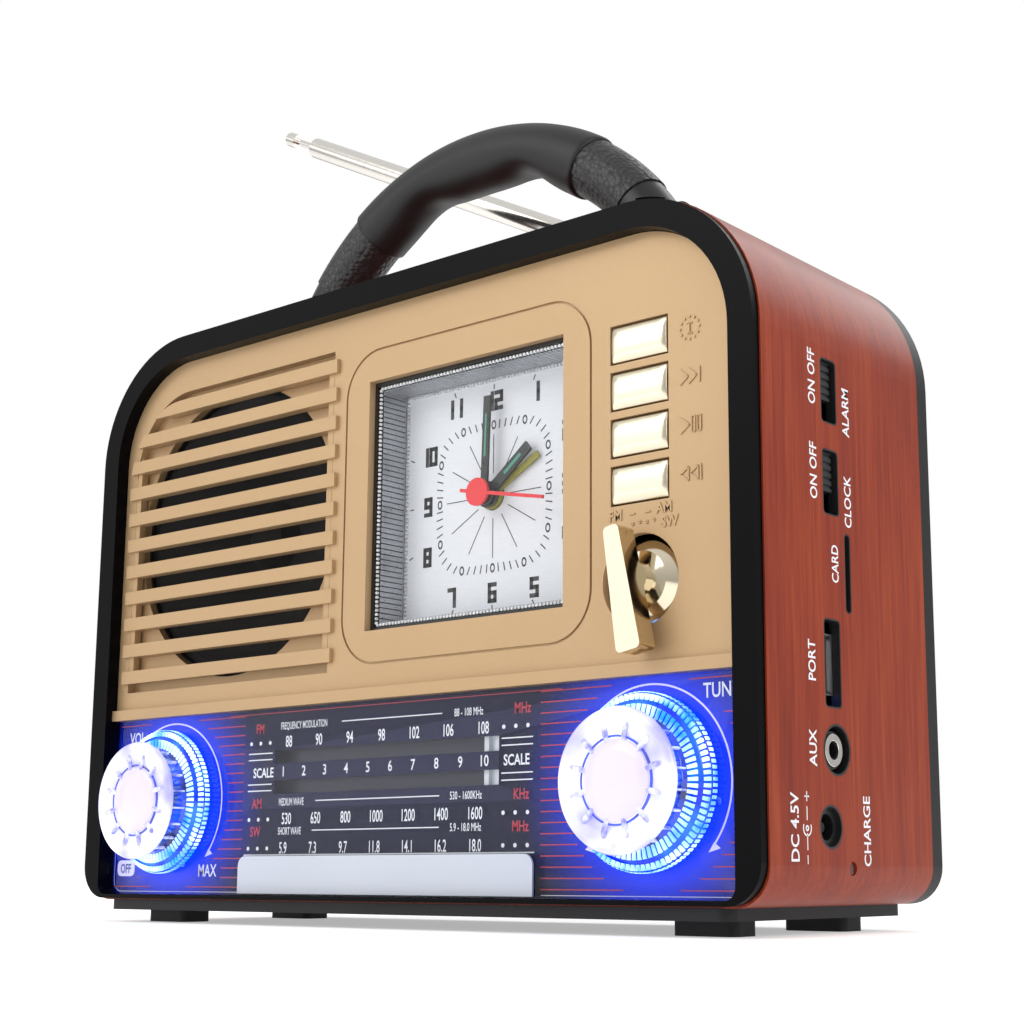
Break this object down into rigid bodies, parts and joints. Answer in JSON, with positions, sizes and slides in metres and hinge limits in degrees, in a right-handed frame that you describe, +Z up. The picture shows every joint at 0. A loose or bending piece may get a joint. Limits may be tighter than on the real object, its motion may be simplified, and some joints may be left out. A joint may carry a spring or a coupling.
{
  "type": "tabletop radio",
  "caption": "Retro tabletop radio with an alarm clock, louvred loudspeaker, lit tuning dial, folding carrying handle and telescopic aerial.",
  "frame": {"origin": "on the floor under the middle of the radio's overall box", "axes": "+Z up; the front with the dial looks along -Y; +X runs to the right as seen from the front"},
  "size_m": [0.2208, 0.089, 0.2468],
  "materials": {
    "bezel_plastic": "satin black",
    "wood_print": "satin reddish-brown wood-grain print",
    "cover_plastic": "fine-textured black",
    "foot_rubber": "matte black",
    "gold_paint": "matte champagne gold",
    "bar_paint": "satin champagne gold",
    "speaker_steel": "black",
    "cone_paper": "black paper",
    "magnet_ferrite": "dark grey",
    "clear_plastic": "clear, polished",
    "dial_glass_clear": "clear, polished",
    "dial_navy": "glossy navy blue print",
    "pale_plate": "pale grey, satin",
    "knob_clear": "clear, lit blue from behind",
    "control_metal": "plain",
    "lamp_board": "white board",
    "pointer_white": "white",
    "gold_chrome": "polished champagne",
    "board_green": "circuit board green",
    "case_black": "black",
    "silver_dial": "brushed silver",
    "hand_black": "satin black",
    "hand_red": "red",
    "hand_olive": "olive yellow",
    "movement_plastic": "black",
    "set_knob_plastic": "black",
    "slider_plastic": "black",
    "jack_plastic": "black",
    "socket_steel": "bright",
    "lamp_red": "clear red",
    "cell_wrap": "printed sleeve",
    "ferrite": "dark grey",
    "screw_steel": "blackened",
    "grip_rubber": "smooth matte black",
    "sleeve_leather": "grained black",
    "end_plastic": "satin black",
    "bracket_plastic": "black",
    "nickel": "polished nickel"
  },
  "bodies": {
    "cabinet": {"front_bezel": "bezel_plastic", "wood_shell": "wood_print", "back_cover": "cover_plastic", "base_plinth": "cover_plastic", "feet": "foot_rubber", "front_panel": "gold_paint", "louvre_bars": "bar_paint", "speaker_basket": "speaker_steel", "speaker_cone": "cone_paper", "speaker_magnet": "magnet_ferrite", "dial_glass": "dial_glass_clear", "dial_plate": "dial_navy", "name_plate": "pale_plate", "volume_control": "control_metal", "tuning_capacitor": "control_metal", "knob_light_rings": "lamp_board", "button_board": "board_green", "band_switch": "case_black", "clock_case": "case_black", "clock_lens": "clear_plastic", "clock_dial": "silver_dial", "clock_movement": "movement_plastic", "side_board": "board_green", "card_reader": "socket_steel", "stick_socket": "socket_steel", "aux_jack": "jack_plastic", "power_jack": "jack_plastic", "charge_lamp": "lamp_red", "battery_box": "movement_plastic", "battery_cells": "cell_wrap", "main_board": "board_green", "ferrite_rod": "ferrite", "case_screws": "screw_steel", "handle_brackets": "bracket_plastic"},
    "volume_knob": {"volume_knob": "knob_clear"},
    "tuning_knob": {"tuning_knob": "knob_clear"},
    "dial_pointer": {"dial_pointer": "pointer_white"},
    "lamp_button": {"lamp_button": "gold_chrome"},
    "next_button": {"next_button": "gold_chrome"},
    "play_button": {"play_button": "gold_chrome"},
    "previous_button": {"previous_button": "gold_chrome"},
    "band_selector": {"band_dome": "gold_chrome", "band_lever": "gold_chrome"},
    "alarm_hand": {"alarm_hand": "hand_olive"},
    "hour_hand": {"hour_hand": "hand_black"},
    "minute_hand": {"minute_hand": "hand_black"},
    "second_hand": {"second_hand": "hand_red"},
    "time_set_knob": {"time_set_knob": "set_knob_plastic"},
    "alarm_set_knob": {"alarm_set_knob": "set_knob_plastic"},
    "alarm_switch": {"alarm_switch_slider": "slider_plastic"},
    "clock_switch": {"clock_switch_slider": "slider_plastic"},
    "handle": {"handle_grip": "grip_rubber", "handle_sleeves": "sleeve_leather", "handle_ends": "end_plastic"},
    "aerial_base": {"aerial_base": "nickel"},
    "aerial_outer_tube": {"aerial_outer_tube": "nickel"},
    "aerial_second_tube": {"aerial_second_tube": "nickel"},
    "aerial_third_tube": {"aerial_third_tube": "nickel"},
    "aerial_tip_rod": {"aerial_tip_rod": "nickel"},
    "battery_door": {"battery_door": "cover_plastic"}
  },
  "joints": [
    {"name": "volume_turn", "type": "hinge", "parent": "cabinet", "child": "volume_knob", "pos_m": [-0.0796, -0.0365, 0.0315], "axis": [0, 1, 0], "range_deg": [0, 300]},
    {"name": "tuning_turn", "type": "hinge", "parent": "cabinet", "child": "tuning_knob", "pos_m": [0.0796, -0.0365, 0.0315], "axis": [0, 1, 0], "range_deg": [-265, 5]},
    {"name": "pointer_slide", "type": "slide", "parent": "cabinet", "child": "dial_pointer", "axis": [1, 0, 0], "range_m": [-0.0675, 0.0015]},
    {"name": "band_select", "type": "hinge", "parent": "cabinet", "child": "band_selector", "pos_m": [0.0781, -0.034, 0.0745], "axis": [0, 1, 0], "range_deg": [-30, 60]},
    {"name": "lamp_press", "type": "slide", "parent": "cabinet", "child": "lamp_button", "axis": [0, 1, 0], "range_m": [0, 0.0015], "stiffness_N_per_m": 400},
    {"name": "next_press", "type": "slide", "parent": "cabinet", "child": "next_button", "axis": [0, 1, 0], "range_m": [0, 0.0015], "stiffness_N_per_m": 400},
    {"name": "play_press", "type": "slide", "parent": "cabinet", "child": "play_button", "axis": [0, 1, 0], "range_m": [0, 0.0015], "stiffness_N_per_m": 400},
    {"name": "previous_press", "type": "slide", "parent": "cabinet", "child": "previous_button", "axis": [0, 1, 0], "range_m": [0, 0.0015], "stiffness_N_per_m": 400},
    {"name": "time_set_turn", "type": "hinge", "parent": "cabinet", "child": "time_set_knob", "pos_m": [0.0252, 0.038, 0.1021], "axis": [0, 1, 0], "continuous": true},
    {"name": "minute_turn", "type": "hinge", "parent": "cabinet", "child": "minute_hand", "pos_m": [0.0252, -0.025, 0.1021], "axis": [0, 1, 0], "continuous": true},
    {"name": "hour_turn", "type": "hinge", "parent": "cabinet", "child": "hour_hand", "pos_m": [0.0252, -0.023, 0.1021], "axis": [0, 1, 0], "continuous": true},
    {"name": "second_turn", "type": "hinge", "parent": "cabinet", "child": "second_hand", "pos_m": [0.0252, -0.027, 0.1021], "axis": [0, 1, 0], "continuous": true},
    {"name": "alarm_set_turn", "type": "hinge", "parent": "cabinet", "child": "alarm_set_knob", "pos_m": [0.0252, 0.038, 0.1221], "axis": [0, 1, 0], "continuous": true},
    {"name": "alarm_hand_turn", "type": "hinge", "parent": "cabinet", "child": "alarm_hand", "pos_m": [0.0252, -0.022, 0.1021], "axis": [0, 1, 0], "continuous": true},
    {"name": "alarm_switch_slide", "type": "slide", "parent": "cabinet", "child": "alarm_switch", "axis": [0, 0, -1], "range_m": [0, 0.004]},
    {"name": "clock_switch_slide", "type": "slide", "parent": "cabinet", "child": "clock_switch", "axis": [0, 0, -1], "range_m": [0, 0.004]},
    {"name": "handle_fold", "type": "hinge", "parent": "cabinet", "child": "handle", "pos_m": [0, 0.0005, 0.1665], "axis": [1, 0, 0], "range_deg": [0, 80]},
    {"name": "aerial_swivel", "type": "hinge", "parent": "cabinet", "child": "aerial_base", "pos_m": [0.0483, 0.0235, 0.16], "axis": [0, 0, 1], "range_deg": [-180, 0]},
    {"name": "aerial_tilt", "type": "hinge", "parent": "aerial_base", "child": "aerial_outer_tube", "pos_m": [0.0483, 0.0235, 0.1658], "axis": [0, 1, 0], "range_deg": [-27, 63]},
    {"name": "second_tube_slide", "type": "slide", "parent": "aerial_outer_tube", "child": "aerial_second_tube", "axis": [-0.8882, 0, 0.4594], "range_m": [0, 0.125]},
    {"name": "third_tube_slide", "type": "slide", "parent": "aerial_second_tube", "child": "aerial_third_tube", "axis": [-0.8882, 0, 0.4594], "range_m": [0, 0.12]},
    {"name": "tip_slide", "type": "slide", "parent": "aerial_third_tube", "child": "aerial_tip_rod", "axis": [-0.8882, 0, 0.4594], "range_m": [-0.0095, 0.1]},
    {"name": "battery_door_hinge", "type": "hinge", "parent": "cabinet", "child": "battery_door", "pos_m": [0, 0.0361, 0.0147], "axis": [-1, 0, 0], "range_deg": [0, 95]}
  ],
  "couplings": [
    {"joint": "pointer_slide", "follows": "tuning_turn", "m_per_rad": 0.0145},
    {"joint": "minute_turn", "follows": "time_set_turn", "ratio": 1},
    {"joint": "hour_turn", "follows": "time_set_turn", "ratio": 0.083333},
    {"joint": "alarm_hand_turn", "follows": "alarm_set_turn", "ratio": -0.5}
  ]
}
